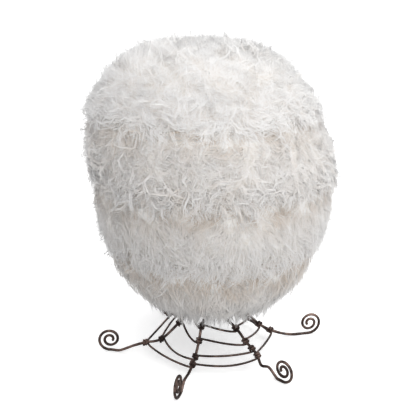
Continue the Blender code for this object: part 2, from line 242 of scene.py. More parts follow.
def as_piece(name: str, points: np.ndarray, triangles: np.ndarray,
             layers: dict[str, np.ndarray] | None = None,
             normals: np.ndarray | None = None) -> bpy.types.Object:
    """Make a smooth-shaded mesh object at the origin.

    Args:
        name: The piece's name.
        points: Its points.
        triangles: Point numbers of its triangles, seen anticlockwise from outside.
        layers: Named values for each point, for the finish to read.
        normals: The points' directions for shading, where they aren't the surface's own.

    Returns:
        The new object.
    """
    mesh = bpy.data.meshes.new(name)
    mesh.vertices.add(len(points))
    mesh.loops.add(triangles.size)
    mesh.polygons.add(len(triangles))
    mesh.vertices.foreach_set("co", points.astype(np.float32).ravel())
    mesh.loops.foreach_set("vertex_index", triangles.astype(np.int32).ravel())
    mesh.polygons.foreach_set("loop_start", np.arange(0, triangles.size, 3, dtype=np.int32))
    mesh.polygons.foreach_set("use_smooth", np.ones(len(triangles), dtype=bool))
    mesh.update(calc_edges=True)
    for label, values in (layers or {}).items():
        layer = mesh.attributes.new(label, "FLOAT", "POINT")
        layer.data.foreach_set("value", values.astype(np.float32).ravel())
    if normals is not None:
        mesh.normals_split_custom_set_from_vertices(normals.tolist())
    piece = bpy.data.objects.new(name, mesh)
    bpy.context.scene.collection.objects.link(piece)
    return piece


def closed_piece(name: str, points: np.ndarray, triangles: np.ndarray) -> bpy.types.Object:
    """Make an object of a closed surface, turned round first if its volume is below zero."""
    corner = points[triangles]
    volume = (corner[:, 0] * np.cross(corner[:, 1], corner[:, 2])).sum()
    return as_piece(name, points, triangles if volume > 0 else triangles[:, ::-1])


def dress(piece: bpy.types.Object, finish: bpy.types.Material,
          nodes: Sequence[str] = ()) -> None:
    """Give a piece its finish, let it ride on the part and report it.

    Args:
        piece: The piece.
        finish: Its material.
        nodes: The solids that it stands for.
    """
    piece.data.materials.append(finish)
    if nodes:
        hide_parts(*nodes)
    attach(piece, BODY)
    LOG.info("%s: %d triangles", piece.name, len(piece.data.polygons))


class Graph:
    """A node tree with short ways to add and join its nodes."""

    def __init__(self, tree: bpy.types.NodeTree) -> None:
        """Keep the tree."""
        self.tree = tree

    def add(self, kind: str, **settings: object) -> bpy.types.Node:
        """Add a node and set its properties."""
        node = self.tree.nodes.new(kind)
        for name, value in settings.items():
            setattr(node, name, value)
        return node

    def feed(self, inputs: bpy.types.NodeInputs, **sources: object) -> None:
        """Join inputs to other sockets, or give them values.

        Args:
            inputs: A node's inputs.
            sources: An output socket or a value for each, by its name with _ for a space.
        """
        for name, source in sources.items():
            self.join(inputs[name.replace("_", " ")], source)

    def join(self, socket: bpy.types.NodeSocket, source: object) -> None:
        """Join one socket to another, or give it a value."""
        if isinstance(source, bpy.types.NodeSocket):
            self.tree.links.new(source, socket)
        else:
            socket.default_value = source

    def place(self) -> bpy.types.NodeSocket:
        """Where a point lies on its piece, in metres."""
        return self.add("ShaderNodeTexCoord").outputs["Object"]

    def maths(self, operation: str, *values: object) -> bpy.types.NodeSocket:
        """A Math node's result."""
        node = self.add("ShaderNodeMath", operation=operation)
        for socket, value in zip(node.inputs, values):
            self.join(socket, value)
        return node.outputs[0]

    def mixed(self, share: object, low: object, high: object) -> bpy.types.NodeSocket:
        """A colour mixed from two. Its sockets go by number, because their names repeat."""
        node = self.add("ShaderNodeMix", data_type="RGBA")
        for number, source in ((0, share), (6, low), (7, high)):
            self.join(node.inputs[number], source)
        return node.outputs[2]

    def noise(self, where: object, scale: float, detail: float = 3.0,
              roughness: float = 0.55) -> bpy.types.NodeSocket:
        """A noise pattern's value, from 0 to 1, with this many crests to the metre."""
        node = self.add("ShaderNodeTexNoise")
        self.feed(node.inputs, Vector=where, Scale=scale, Detail=detail, Roughness=roughness)
        return node.outputs[0]

    def spread(self, value: object, low: float, high: float) -> bpy.types.NodeSocket:
        """A value from low to high, stretched softly to 0 to 1."""
        node = self.add("ShaderNodeMapRange", interpolation_type="SMOOTHSTEP")
        self.feed(node.inputs, Value=value, From_Min=low, From_Max=high)
        return node.outputs[0]


class Group(NamedTuple):
    """A node group that is being made: its graph, its inputs and the socket for its result."""

    graph: Graph
    given: bpy.types.NodeOutputs
    result: bpy.types.NodeSocket


def new_group(name: str, inputs: dict[str, str], output: str, kind: str) -> Group:
    """Start a shader node group.

    Args:
        name: Its name.
        inputs: Each input's name and kind of socket.
        output: The output's name.
        kind: The output's kind of socket.

    Returns:
        The group.
    """
    tree = bpy.data.node_groups.new(name, "ShaderNodeTree")
    for label, sort in inputs.items():
        tree.interface.new_socket(label, in_out="INPUT", socket_type="NodeSocket" + sort)
    tree.interface.new_socket(output, in_out="OUTPUT", socket_type="NodeSocket" + kind)
    graph = Graph(tree)
    given = graph.add("NodeGroupInput").outputs
    return Group(graph, given, graph.add("NodeGroupOutput").inputs[output])


def wool_tone_group() -> bpy.types.NodeTree:
    """The wool's colour along a hair: warm and deep at its root, which is painted shade deep in
    the fleece, pale at its tip, with each lock a little different, painted shade under each tier's
    overhang, and a soft mottling over the whole hat."""
    graph, given, result = new_group("wool tone", {"Root": "Color", "Body": "Color",
                                                   "Tip": "Color", "Mottle": "Float"},
                                     "Color", "Color")
    along, tint_and_shade = (graph.add("ShaderNodeAttribute", attribute_name=name).outputs["Fac"]
                   for name in ("along", "tint_and_shade"))
    # Painted shade: each hair darkens from its body colour to the root colour towards its root.
    deep = graph.mixed(graph.spread(along, -0.45, 0.45), given["Root"], given["Body"])
    tone = graph.mixed(graph.spread(along, 0.35, 0.95), deep, given["Tip"])
    # Painted shade: a strand's value, its random tint plus painted shade under the tier above,
    # pulls its colour back to the root colour over a noise mottle.
    patch = graph.maths("MULTIPLY", graph.noise(graph.place(), 38.0), given["Mottle"])
    share = graph.maths("MULTIPLY", tint_and_shade, patch)
    graph.join(result, graph.mixed(share, tone, given["Root"]))
    return graph.tree


def grain_group() -> bpy.types.NodeTree:
    """Fine surface relief: the sum of a coarse and a fine noise, as a height."""
    graph, given, result = new_group("surface grain", {"Coarse": "Float", "Fine": "Float"},
                                     "Height", "Float")
    place = graph.place()
    coarse, fine = (graph.maths("MULTIPLY", graph.noise(place, scale), given[name])
                    for name, scale in (("Coarse", 160.0), ("Fine", 900.0)))
    graph.join(result, graph.maths("ADD", coarse, fine))
    return graph.tree


def colour(rgb: Tone) -> tuple[float, float, float, float]:
    """A colour with full alpha."""
    return (*rgb, 1.0)


def new_material(name: str) -> tuple[bpy.types.Material, Graph, bpy.types.NodeInputs]:
    """A new material, its graph and its Principled shader's inputs."""
    made = bpy.data.materials.new(name)
    made.use_nodes = True
    return made, Graph(made.node_tree), made.node_tree.nodes["Principled BSDF"].inputs


@dataclass(frozen=True)
class WoolFinish:
    """Natural white wool: matt with a soft sheen, warmer and darker towards the root of each hair
    as painted shade deep in the fleece, and paler towards the tip of each hair.
    """

    # Painted shade: the warm, darker colour that each hair takes near its root, deep in the
    # fleece.
    root: Tone = (0.72, 0.59, 0.47)
    body: Tone = (0.970, 0.962, 0.952)
    tip: Tone = (0.99, 0.99, 0.99)
    mottle: float = 1.0
    roughness: float = 0.85
    sheen: float = 1.0
    specular: float = 0.25

    def material(self, tone: bpy.types.NodeTree) -> bpy.types.Material:
        """Build the material from the shared group that colours a hair."""
        made, graph, shader = new_material("white wool")
        group = graph.add("ShaderNodeGroup", node_tree=tone)
        graph.feed(group.inputs, Root=colour(self.root), Body=colour(self.body),
                   Tip=colour(self.tip), Mottle=self.mottle)
        graph.feed(shader, Base_Color=group.outputs["Color"], Roughness=self.roughness,
                   Sheen_Weight=self.sheen, Specular_IOR_Level=self.specular)
        return made


@dataclass(frozen=True)
class GrainedFinish:
    """A finish that noise mottles between two tones, over a grained surface. Where it is pale, its
    roughness is lower by its polish."""

    name: str
    dark: Tone
    pale: Tone
    crests: float
    detail: float = 3.0
    raggedness: float = 0.55
    low: float = 0.3
    high: float = 0.7
    roughness: float = 0.9
    polish: float = 0.0
    metallic: float = 0.0
    sheen: float = 0.0
    specular: float = 0.5
    coarse: float = 1.0
    fine: float = 0.5
    relief: float = 0.001

    def material(self, grain: bpy.types.NodeTree) -> bpy.types.Material:
        """Build the material from the shared grain."""
        made, graph, shader = new_material(self.name)
        pattern = graph.noise(graph.place(), self.crests, self.detail, self.raggedness)
        share = graph.spread(pattern, self.low, self.high)
        graph.feed(shader, Base_Color=graph.mixed(share, colour(self.dark), colour(self.pale)),
                   Roughness=self.roughness, Metallic=self.metallic, Sheen_Weight=self.sheen,
                   Specular_IOR_Level=self.specular)
        if self.polish:
            less = graph.maths("MULTIPLY", share, self.polish)
            graph.feed(shader, Roughness=graph.maths("SUBTRACT", self.roughness, less))
        height = graph.add("ShaderNodeGroup", node_tree=grain)
        graph.feed(height.inputs, Coarse=self.coarse, Fine=self.fine)
        bump = graph.add("ShaderNodeBump")
        graph.feed(bump.inputs, Distance=self.relief, Height=height.outputs["Height"])
        graph.feed(shader, Normal=bump.outputs["Normal"])
        return made


@dataclass(frozen=True)
class UndercoatFinish(GrainedFinish):
    """The dense short wool close to the skin, which shows warm between the locks."""

    name: str = "wool undercoat"
    dark: Tone = (0.90, 0.86, 0.80)
    pale: Tone = (0.965, 0.95, 0.93)
    crests: float = 120.0
    roughness: float = 0.95
    specular: float = 0.15
    relief: float = 0.0015


@dataclass(frozen=True)
class SuedeFinish(GrainedFinish):
    """The raw flesh side of a sheepskin: dry, soft and unevenly tanned."""

    name: str = "sheepskin suede"
    dark: Tone = (0.47, 0.34, 0.21)
    pale: Tone = (0.66, 0.53, 0.37)
    crests: float = 26.0
    detail: float = 5.0
    low: float = 0.32
    high: float = 0.68
    sheen: float = 0.3
    coarse: float = 0.6
    fine: float = 1.0
    relief: float = 0.0006


@dataclass(frozen=True)
class BronzeFinish(GrainedFinish):
    """Wire with a dark brown oxide coat and warmer brown patches, laid at random by noise, that
    are painted highlights.
    """

    name: str = "oxidised bronze wire"
    dark: Tone = (0.055, 0.037, 0.032)
    # Painted highlight: the warmer brown patches stand for light on the wire.
    pale: Tone = (0.27, 0.18, 0.15)
    crests: float = 85.0
    detail: float = 4.0
    raggedness: float = 0.65
    low: float = 0.42
    high: float = 0.72
    roughness: float = 0.46
    polish: float = 0.2
    metallic: float = 0.75
    fine: float = 0.4
    relief: float = 0.00025


class Section(NamedTuple):
    """A point of the wool's outline, as shares of the wool's height and radius."""

    height: float
    radius: float


class Growth(NamedTuple):
    """A coat's strands: their middle lines, and for each the direction away from the hat at its
    root and how far it takes the wool's deep colour, as a random tint plus painted shade under the
    tier above."""

    lines: np.ndarray
    outward: np.ndarray
    tint_and_shade: np.ndarray


class Surface(NamedTuple):
    """Places on the wool and the three directions there."""

    place: np.ndarray
    out: np.ndarray
    down: np.ndarray
    side: np.ndarray


@dataclass
class HatForm:
    """The sizes and the outline that the hide and every tier of wool share."""

    head_radius: float = 0.0925
    hide_wall: float = 0.0025
    rim_height: float = 0.105
    hide_height: float = 0.235
    crown_corner: float = 0.050
    crown_rise: float = 0.003
    wool_radius: float = 0.1425
    wool_bottom: float = 0.064
    wool_height: float = 0.318
    tier_tuck: float = 0.009
    lean: float = 0.0144
    lean_start: float = 0.232
    shoulder_swell: float = 0.009
    swell_depth: float = 0.030
    outline: tuple[Section, ...] = (
        Section(0.00, 0.40), Section(0.04, 0.58), Section(0.11, 0.76), Section(0.20, 0.87),
        Section(0.31, 0.95), Section(0.43, 0.995), Section(0.56, 1.00), Section(0.68, 0.955),
        Section(0.79, 0.885), Section(0.89, 0.745), Section(0.96, 0.57), Section(0.99, 0.36),
        Section(1.00, 0.00),
    )
    span_steps: int = 24
    arc: np.ndarray = field(init=False)
    radius: np.ndarray = field(init=False)
    height: np.ndarray = field(init=False)
    slope: np.ndarray = field(init=False)

    def __post_init__(self) -> None:
        """Read the outline as a fine smooth curve, measured along its length from below."""
        rows = np.array(self.outline)
        line = np.stack([rows[:, 1] * self.wool_radius,
                         self.wool_bottom + rows[:, 0] * self.wool_height], -1)
        before = 2 * line[:1] - line[1:2]
        after = line[-2:-1] * [[-1.0, 1.0]]
        line = smooth_through(np.vstack([before, line, after]), self.span_steps)
        length = np.linalg.norm(np.diff(line, axis=0), axis=1)
        self.arc = np.concatenate([[0.0], np.cumsum(length)])
        self.radius, self.height = np.maximum(line[:, 0], 0.0), line[:, 1]
        self.slope = unit(np.gradient(line, self.arc, axis=0))

    @property
    def hide_radius(self) -> float:
        """The hide's outer radius."""
        return self.head_radius + self.hide_wall

    @property
    def crown_top(self) -> float:
        """The height of the hide's crown."""
        return self.rim_height + self.hide_height

    @property
    def corner_radius(self) -> float:
        """The radius at which the crown's rounded corner has its middle."""
        return self.hide_radius - self.crown_corner

    @property
    def corner_height(self) -> float:
        """The height at which the crown's rounded corner has its middle."""
        return self.crown_top - self.crown_rise - self.crown_corner

    @property
    def lean_run(self) -> float:
        """The height over which the hat leans."""
        return self.wool_bottom + self.wool_height - self.lean_start

    def arc_at(self, share: float) -> float:
        """The way along the outline to a share of the wool's height."""
        return float(np.interp(self.wool_bottom + share * self.wool_height, self.height, self.arc))

    def leaned(self, points: np.ndarray) -> np.ndarray:
        """Points moved to the viewer's left, evenly from the upper tier's lower edge upwards, with
        the left shoulder's wool swollen by a half sine of that rise, out from the hide."""
        rise = np.maximum(points[..., 2] - self.lean_start, 0.0) / self.lean_run
        radius = np.maximum(np.hypot(points[..., 0], points[..., 1]), self.hide_wall)
        across = np.maximum(radius - self.corner_radius, 0.0)
        above = points[..., 2] - self.corner_height
        off_hide = np.hypot(across, np.maximum(above, 0.0)) - self.crown_corner
        loose = np.clip(off_hide / self.swell_depth, 0.0, 1.0)
        left = np.maximum(-points[..., 0] / radius, 0.0) ** 2
        swell = self.shoulder_swell * np.sin(math.pi * np.minimum(rise, 1.0)) * left * loose
        moved = points.copy()
        moved[..., 0] -= self.lean * rise + swell
        return moved

    def at(self, arc: np.ndarray) -> list[np.ndarray]:
        """The outline's radius, height, slope outwards and slope upwards at ways along it."""
        columns = (self.radius, self.height, self.slope[:, 0], self.slope[:, 1])
        return [np.interp(arc, self.arc, column) for column in columns]

    def profile(self, arc: np.ndarray, depth: np.ndarray) -> np.ndarray:
        """(radius, height) rows at ways along the outline, moved inwards by a depth."""
        radius, height, across, up = self.at(arc)
        return np.stack([np.maximum(radius - up * depth, 0.0), height + across * depth], -1)

    def surface(self, turn: np.ndarray, arc: np.ndarray, depth: np.ndarray) -> Surface:
        """Places and directions on the wool.

        Args:
            turn: Angles round the hat.
            arc: Ways along the outline.
            depth: Depths below it.

        Returns:
            The places, and outwards, down the hat and sideways there.
        """
        radius, height = self.profile(arc, depth).T
        across, up = self.at(arc)[2:]
        cos, sin = np.cos(turn), np.sin(turn)
        place = np.stack([radius * cos, radius * sin, height], -1)
        out = unit(np.stack([up * cos, up * sin, -across], -1))
        down = unit(np.stack([-across * cos, -across * sin, -up], -1))
        return Surface(place, out, down, np.stack([-sin, cos, np.zeros_like(sin)], -1))

    def spaced(self, low: float, high: float, count: int) -> tuple[np.ndarray, np.ndarray]:
        """Evenly spread roots: equal steps of area along the outline, each turned on from the
        last by the golden angle.

        Args:
            low: Where the roots start along the outline.
            high: Where they end.
            count: How many there are.

        Returns:
            Turns and ways along the outline.
        """
        way = np.linspace(low, high, 200)
        ring = np.interp(way, self.arc, self.radius) + 1e-4
        area = np.concatenate([[0.0], np.cumsum((ring[1:] + ring[:-1]) / 2 * np.diff(way))])
        index = np.arange(count)
        return index * GOLDEN_ANGLE, np.interp((index + 0.5) / count * area[-1], area, way)


@dataclass(frozen=True)
class Coat:
    """How one coat of wool grows: lengths in metres, angles in degrees.

    A lock is a bunch of strands that spring from a small round patch of skin. They rise from it
    at one angle, settle to another at their tips, and gather to the lock's own middle line. Hang
    turns them from along the skin to straight down, uneven is how far the locks' lengths differ,
    and airy is the share of the strands that throw no shadow. Rise stray, in degrees, and phase
    stray, in radians, set them apart, and flatness is a wave's height as a share of its width.
    """

    comb: Comb
    low: float
    high: float
    locks: int
    strands: int
    stations: int
    length: float
    width: float
    rise: float
    settle: float
    stray: float
    curl: float
    waves: float
    spread: float
    gather: float
    depth: float
    hang: float = 0.0
    uneven: float = 0.25
    airy: float = 0.6
    rise_stray: float = 9.0
    phase_stray: float = 0.35
    flatness: float = 0.7

    def offsets(self, chance: np.random.Generator) -> tuple[np.ndarray, np.ndarray, np.ndarray]:
        """How far the strands lie from the middle of their lock's patch of skin.

        A strand's direction turns from its rise to its settling angle, and its line is the sum
        of those directions. The lock's wave is a flattened circle in the plane across its heading
        that widens away from the root, and each strand closes in on the lock's line towards its
        tip.

        Args:
            chance: The random draws.

        Returns:
            Ways aside, ahead and out from the skin, by lock, strand and station.
        """
        shape, each = (self.locks, self.strands), (self.locks, 1, 1)
        t = np.linspace(0.0, 1.0, self.stations)
        size = self.length * chance.uniform(1 - self.uneven, 1 + self.uneven, (self.locks, 1))
        size = (size * chance.uniform(*LENGTHS, shape))[..., None]
        rise = self.rise + chance.normal(0, self.rise_stray, each)
        angle = np.radians(rise + (self.settle - rise) * t ** 0.8)
        middle = (angle[..., 1:] + angle[..., :-1]) / 2
        step = 1.0 / (self.stations - 1)
        forward, upward = (np.concatenate([np.zeros(each), np.cumsum(part, -1) * step], -1)
                           for part in (np.cos(middle), np.sin(middle)))
        phase = chance.uniform(0, math.tau, each)
        phase = phase + chance.normal(0, self.phase_stray, (*shape, 1))
        wave = phase + math.tau * self.waves * chance.uniform(*WAVES, each) * t
        widening = np.minimum(1.0, 0.15 + 1.6 * t)
        swing = self.curl * widening * chance.uniform(*SWINGS, each)
        sway = swing * (np.cos(wave) - np.cos(phase))
        lift = self.flatness * swing * (np.sin(wave) - np.sin(phase))
        reach = self.spread * np.sqrt(chance.uniform(0, 1, shape))
        where = chance.uniform(0, math.tau, shape)
        close = 1.0 - self.gather * t ** 1.3
        aside = (reach * np.cos(where))[..., None] * close + sway
        ahead = (reach * np.sin(where))[..., None] * close + size * forward
        return aside, ahead, size * upward + lift


@dataclass
class Tier:
    """One tier of the hat's wool: its undercoat and the coats of locks that grow from it.

    Painted shade is how deep the root colour is painted on the strands under the next tier's
    overhang, where shade falls, and lightly over the whole tier, and shelter is how far it reaches
    down. Mottle is how much the locks' colours differ, and softness is how far the strands'
    shading follows the coat's surface.
    """

    form: HatForm
    node: str
    low: float
    high: float
    coats: dict[str, Coat]
    seed: int
    # How deep the painted shade is under the next tier's overhang, and lightly over the whole
    # tier.
    painted_shade: float = 0.0
    mottle: float = 0.2
    shelter: float = 0.012
    softness: float = 0.65
    down_depth: float = 0.0095
    edge_power: float = 5
    fluffed_turn: float = math.pi * 1.3
    swirl_size: float = 0.055
    rows: int = 22
    steps: int = 160
    mouth: tuple[tuple[float, float], ...] = ((0.62, 0.024), (0.70, 0.010), (0.86, 0.003))
    lumps: tuple[tuple[float, float], ...] = ((0.0014, 0.030), (0.0008, 0.011))
    taper: float = 2.2
    ridge: float = 0.6

    def undercoat_profile(self) -> tuple[np.ndarray, np.ndarray]:
        """The undercoat's profile, down its outer side and back up along the hide, and how much
        of the lumps each of its points takes. The lowest tier's rolls in under the hide's rim
        through its mouth's points: shares of the head's radius, and depths below the rim."""
        form = self.form
        bottom, top = form.arc_at(self.low), form.arc_at(self.high)
        share = np.linspace(0.0, 1.0, self.rows)
        edge = np.abs(2 * share - 1) ** self.edge_power
        if self.high >= 1.0:
            edge = np.where(share < 0.5, 0.0, edge)
        outer = form.profile(top + (bottom - top) * share, self.down_depth + form.tier_tuck * edge)
        lumps = 1.0 - edge
        if self.high >= 1.0:
            outer[0, 0] = 0.0
            corner, height = form.crown_corner + GAP, form.corner_height
            start = max(0.0, math.asin((outer[-1, 1] - height) / corner))
            rise = np.linspace(start, math.pi / 2, 8)
            inner = np.stack([form.corner_radius + corner * np.cos(rise),
                              height + corner * np.sin(rise)], -1)
            inner = np.vstack([inner, [[0.0, form.crown_top + GAP]]])
        else:
            hem = self.low <= 0.0
            back, peak = form.hide_radius + GAP, outer[0, 1]
            foot = form.rim_height if hem else outer[-1, 1]
            inner = [[form.head_radius * part, foot - below] for part, below in self.mouth if hem]
            inner += [[back, foot - GAP * hem], [back, (foot + peak) / 2], [back, peak]]
        return np.vstack([outer, inner]), np.concatenate([lumps, np.zeros(len(inner))])

    def undercoat(self) -> bpy.types.Object:
        """The dense wool near the skin: its profile turned round the hat, with soft lumps of a
        few heights and sizes that are sums of waves, strongest between the tier's edges."""
        profile, lumps = self.undercoat_profile()
        points, triangles = turned(profile, self.steps)
        rows = lumps[1:-1] if profile[0, 0] == 0.0 else lumps
        weight = np.repeat(rows, self.steps)
        weight = np.concatenate([weight, np.zeros(len(points) - len(weight))])
        outwards = unit(points * [[1.0, 1.0, 0.3]] - [[0.0, 0.0, 0.25 * self.form.crown_top]])
        height = sum(tall * ripples(points, size, self.seed + number)
                     for number, (tall, size) in enumerate(self.lumps))
        points += outwards * (height * weight)[:, None]
        return closed_piece(self.node.replace("fleece", "undercoat"), self.form.leaned(points),
                            triangles)

    def strands(self, coat: Coat, seed: int) -> Growth:
        """Grow a coat's strands.

        Their roots sink with the undercoat towards the tier's upper edge. A lock's heading is a
        soft swirl over the hat plus its own stray, and the painted shade of the deep root colour
        falls off as a power of e down from the tier's upper edge.

        Args:
            coat: The coat.
            seed: Which random draw.

        Returns:
            The strands.
        """
        form, chance = self.form, np.random.default_rng(seed)
        turn, arc = form.spaced(form.arc_at(coat.low), form.arc_at(coat.high), coat.locks)
        turn = turn + chance.normal(0, TURN_STRAY, coat.locks)
        arc = np.clip(arc + chance.normal(0, ARC_STRAY, coat.locks), 0.0, form.arc[-1])
        bottom, top = form.arc_at(self.low), form.arc_at(self.high)
        edge = np.clip(2 * (arc - bottom) / (top - bottom) - 1, 0.0, 1.0) ** self.edge_power
        tuck = 0.0 if self.high >= 1.0 else form.tier_tuck
        skin = form.surface(turn, arc, coat.depth + tuck * edge)
        down = unit(skin.down * (1 - coat.hang) + np.array([0.0, 0.0, -1.0]) * coat.hang)
        stray = math.radians(coat.stray)
        swing = self.fluffed_turn if coat.comb is Comb.FLUFFED else stray
        heading = swing * ripples(skin.place, self.swirl_size, seed + 7)
        heading = (heading + stray * chance.normal(0, HEADING_STRAY, coat.locks))[:, None]
        ahead = np.cos(heading) * down + np.sin(heading) * skin.side
        lines = skin.place[:, None, None]
        directions = (np.cross(skin.out, ahead), ahead, skin.out)
        for way, direction in zip(coat.offsets(chance), directions):
            lines = lines + way[..., None] * direction[:, None, None]
        tint_and_shade = self.mottle * chance.uniform(0, 1, coat.locks)
        # Painted shade: the root colour is painted on the strands under the next tier's overhang,
        # strongest at its upper edge, and lightly over the whole tier.
        tint_and_shade += self.painted_shade * (0.1 + 1.9 * np.exp((arc - top) / self.shelter))
        return Growth(lines.reshape(-1, coat.stations, 3), np.repeat(skin.out, coat.strands, 0),
                      np.repeat(tint_and_shade, coat.strands))

    def locks(self, label: str, coat: Coat, growth: Growth, seed: int) -> bpy.types.Object:
        """A coat's strands as closed three-cornered tapers, each ending in a point.

        At each station but the last the section has a corner at either side and a ridge on top.
        Its width is the coat's width times 1 minus a power of the way along, and about a third
        less at the root.

        Args:
            label: The piece's name.
            coat: The coat.
            growth: Its strands, or some of them.
            seed: Which random draw.

        Returns:
            The new piece.
        """
        lines, outward, tint_and_shade = growth
        chance = np.random.default_rng(seed + 99)
        count, stations = lines.shape[:2]
        t = np.linspace(0.0, 1.0, stations)[:-1]
        along = unit(np.gradient(lines, axis=1))[:, :-1]
        wide = unit(np.cross(along, outward[:, None]))
        high = np.cross(wide, along)
        roll = chance.normal(0, ROLL_STRAY, (count, 1, 1))
        wide, high = (np.cos(roll) * wide + np.sin(roll) * high,
                      np.cos(roll) * high - np.sin(roll) * wide)
        taper = (1 - t ** self.taper) * (0.65 + 0.35 * np.minimum(1.0, 4 * t))
        half = 0.5 * coat.width * chance.uniform(*WIDTHS, (count, 1)) * taper
        half = half[..., None]
        middle = lines[:, :-1]
        corners = np.stack([middle + wide * half, middle + high * half * self.ridge,
                            middle - wide * half], 2)
        points = np.concatenate([corners.reshape(count, -1, 3), lines[:, -1:]], 1)
        each = points.shape[1]
        ring = np.arange(stations - 2)[:, None] * 3
        left, right = np.array([0, 1, 2]), np.array([1, 2, 0])
        a, b = ring + left, ring + right
        walls = np.concatenate([np.stack([a, a + 3, b + 3], -1).reshape(-1, 3),
                                np.stack([a, b + 3, b], -1).reshape(-1, 3)])
        last = 3 * (stations - 2)
        tip = np.stack([last + left, np.full(3, each - 1), last + right], -1)
        one = np.vstack([walls, tip, [[0, 1, 2]]])
        triangles = (one[None] + (np.arange(count) * each)[:, None, None]).reshape(-1, 3)
        way = np.tile(np.append(np.repeat(t, 3), 1.0), count)
        own = np.stack([wide, high, -wide], 2)
        own = np.concatenate([np.broadcast_to(own, corners.shape).reshape(count, -1, 3),
                              along[:, -1:]], 1)
        normals = unit(self.softness * outward[:, None] + (1 - self.softness) * own)
        # The point values feed the wool's colour, painted shade included.
        return as_piece(label, self.form.leaned(points.reshape(-1, 3)), triangles,
                        {"along": way, "tint_and_shade": np.repeat(tint_and_shade, each)}, normals.reshape(-1, 3))

    def build(self, undercoat: bpy.types.Material, wool: bpy.types.Material) -> None:
        """Make and dress the tier's pieces.

        Wool lets much of the light through, so a share of each coat's strands is a piece of its
        own that throws no shadow.

        Args:
            undercoat: The undercoat's finish.
            wool: The locks' finish.
        """
        dress(self.undercoat(), undercoat, [self.node])
        for number, (label, coat) in enumerate(self.coats.items()):
            seed = self.seed + 31 * (number + 1)
            growth = self.strands(coat, seed)
            airy = np.random.default_rng(seed + 5).uniform(size=len(growth.tint_and_shade)) < coat.airy
            for name, chosen in ((label, ~airy), (f"{label}_airy", airy)):
                some = Growth(*(values[chosen] for values in growth))
                piece = self.locks(name, coat, some, seed + len(name))
                piece.visible_shadow = name == label
                dress(piece, wool)


@dataclass
class Hide:
    """The sheepskin's leather: a wall with a rounded crown, open at the rim."""

    form: HatForm
    steps: int = 120

    def profile(self) -> np.ndarray:
        """The outer side from the crown's middle down to the rim, and the inner side back up."""
        form, half = self.form, self.form.hide_wall / 2
        angle = np.linspace(0.0, math.pi, 7)[1:-1]
        rim = np.stack([form.hide_radius - half + half * np.cos(angle),
                        form.rim_height + half * (1 - np.sin(angle))], -1)
        return np.vstack([self.side(0.0), rim, self.side(-form.hide_wall)[::-1]])

    def side(self, margin: float) -> np.ndarray:
        """One side of the wall from the crown's middle to just above the rim, moved out by a
        margin: a shallow cone, an arc of a quarter turn and a straight wall."""
        form = self.form
        angle = np.linspace(math.pi / 2, 0.0, 13)
        corner, middle = form.crown_corner + margin, form.corner_height
        arc = np.stack([form.corner_radius + corner * np.cos(angle),
                        middle + corner * np.sin(angle)], -1)
        wall = np.linspace(middle, form.rim_height + form.hide_wall / 2, 10)[1:]
        straight = np.stack([np.full(len(wall), form.hide_radius + margin), wall], -1)
        return np.vstack([[[0.0, form.crown_top + margin]], arc, straight])

    def build(self, suede: bpy.types.Material) -> None:
        """Make and dress the hide."""
        points, triangles = turned(self.profile(), self.steps)
        piece = closed_piece("sheepskin_hide", self.form.leaned(points), triangles)
        dress(piece, suede, ["hide"])


class Bend(NamedTuple):
    """Where a leg's wire passes: shares of the stand's radius and of its hub's height."""

    radius: float
    height: float


class Leg(NamedTuple):
    """A leg: its turn and splay in degrees, its spiral's middle, its bends and its knots."""

    name: str
    turn: float
    splay: float
    reach: float
    run: tuple[Bend, ...]
    knots: tuple[Bend, ...]


class Stop(NamedTuple):
    """Where a web wire is wound on, and how strongly it swings sideways as it leaves this stop
    and as it arrives at the next, as shares of the span between them."""

    leg: int
    knot: int
    leave: float
    arrive: float


LEGS = (
    Leg("leg_a", 166.4, 7.6, 1.05, (Bend(0.92, 0.03), Bend(0.81, 0.12)),
        (Bend(0.69, 0.19), Bend(0.52, 0.22), Bend(0.33, 0.50), Bend(0.23, 0.68))),
    Leg("leg_b", 106.4, 0.0, 1.07, (Bend(0.89, 0.12), Bend(0.74, 0.12)),
        (Bend(0.61, 0.17), Bend(0.52, 0.23), Bend(0.39, 0.42), Bend(0.30, 0.62))),
    Leg("leg_c", 46.4, 0.0, 1.04, (Bend(0.85, 0.13), Bend(0.745, 0.10)),
        (Bend(0.69, 0.25), Bend(0.61, 0.33), Bend(0.52, 0.41), Bend(0.38, 0.57))),
    Leg("leg_d", -13.6, 0.0, 1.11, (Bend(0.91, 0.01), Bend(0.79, 0.06)),
        (Bend(0.67, 0.15), Bend(0.54, 0.29), Bend(0.41, 0.50))),
    Leg("leg_f", -73.6, 0.0, 1.07, (Bend(0.89, 0.05), Bend(0.79, 0.10)),
        (Bend(0.66, 0.18), Bend(0.53, 0.29), Bend(0.40, 0.47))),
    Leg("leg_e", -133.6, 13.0, 1.06, (Bend(0.88, 0.04), Bend(0.78, 0.11)),
        (Bend(0.655, 0.21), Bend(0.53, 0.29), Bend(0.40, 0.46))),
)
A, B, C, D, F, E = range(6)
WEB_RING = (
    Stop(A, 0, 0.45, 0.50), Stop(B, 0, 1.00, 1.00), Stop(C, 0, 0.10, 0.20),
    Stop(D, 0, 0.70, 0.70), Stop(F, 0, 0.70, 0.70), Stop(E, 0, 0.15, 0.10),
)
WEB_SPIRAL = (
    Stop(A, 3, 0.60, 0.60), Stop(B, 3, 0.55, 0.60), Stop(C, 3, 0.80, 0.10),
    Stop(D, 2, 0.70, 0.70), Stop(F, 2, 0.70, 0.70), Stop(E, 2, 0.70, 0.60),
    Stop(A, 2, 0.90, 0.80), Stop(B, 2, 0.60, 0.50), Stop(C, 2, 0.90, 0.10),
    Stop(D, 1, 0.70, 0.70), Stop(F, 1, 0.70, 0.70), Stop(E, 1, 0.60, 0.40),
    Stop(A, 1, 1.00, 1.00), Stop(B, 1, 0.80, 0.30), Stop(C, 1, 0.0, 0.0),
)


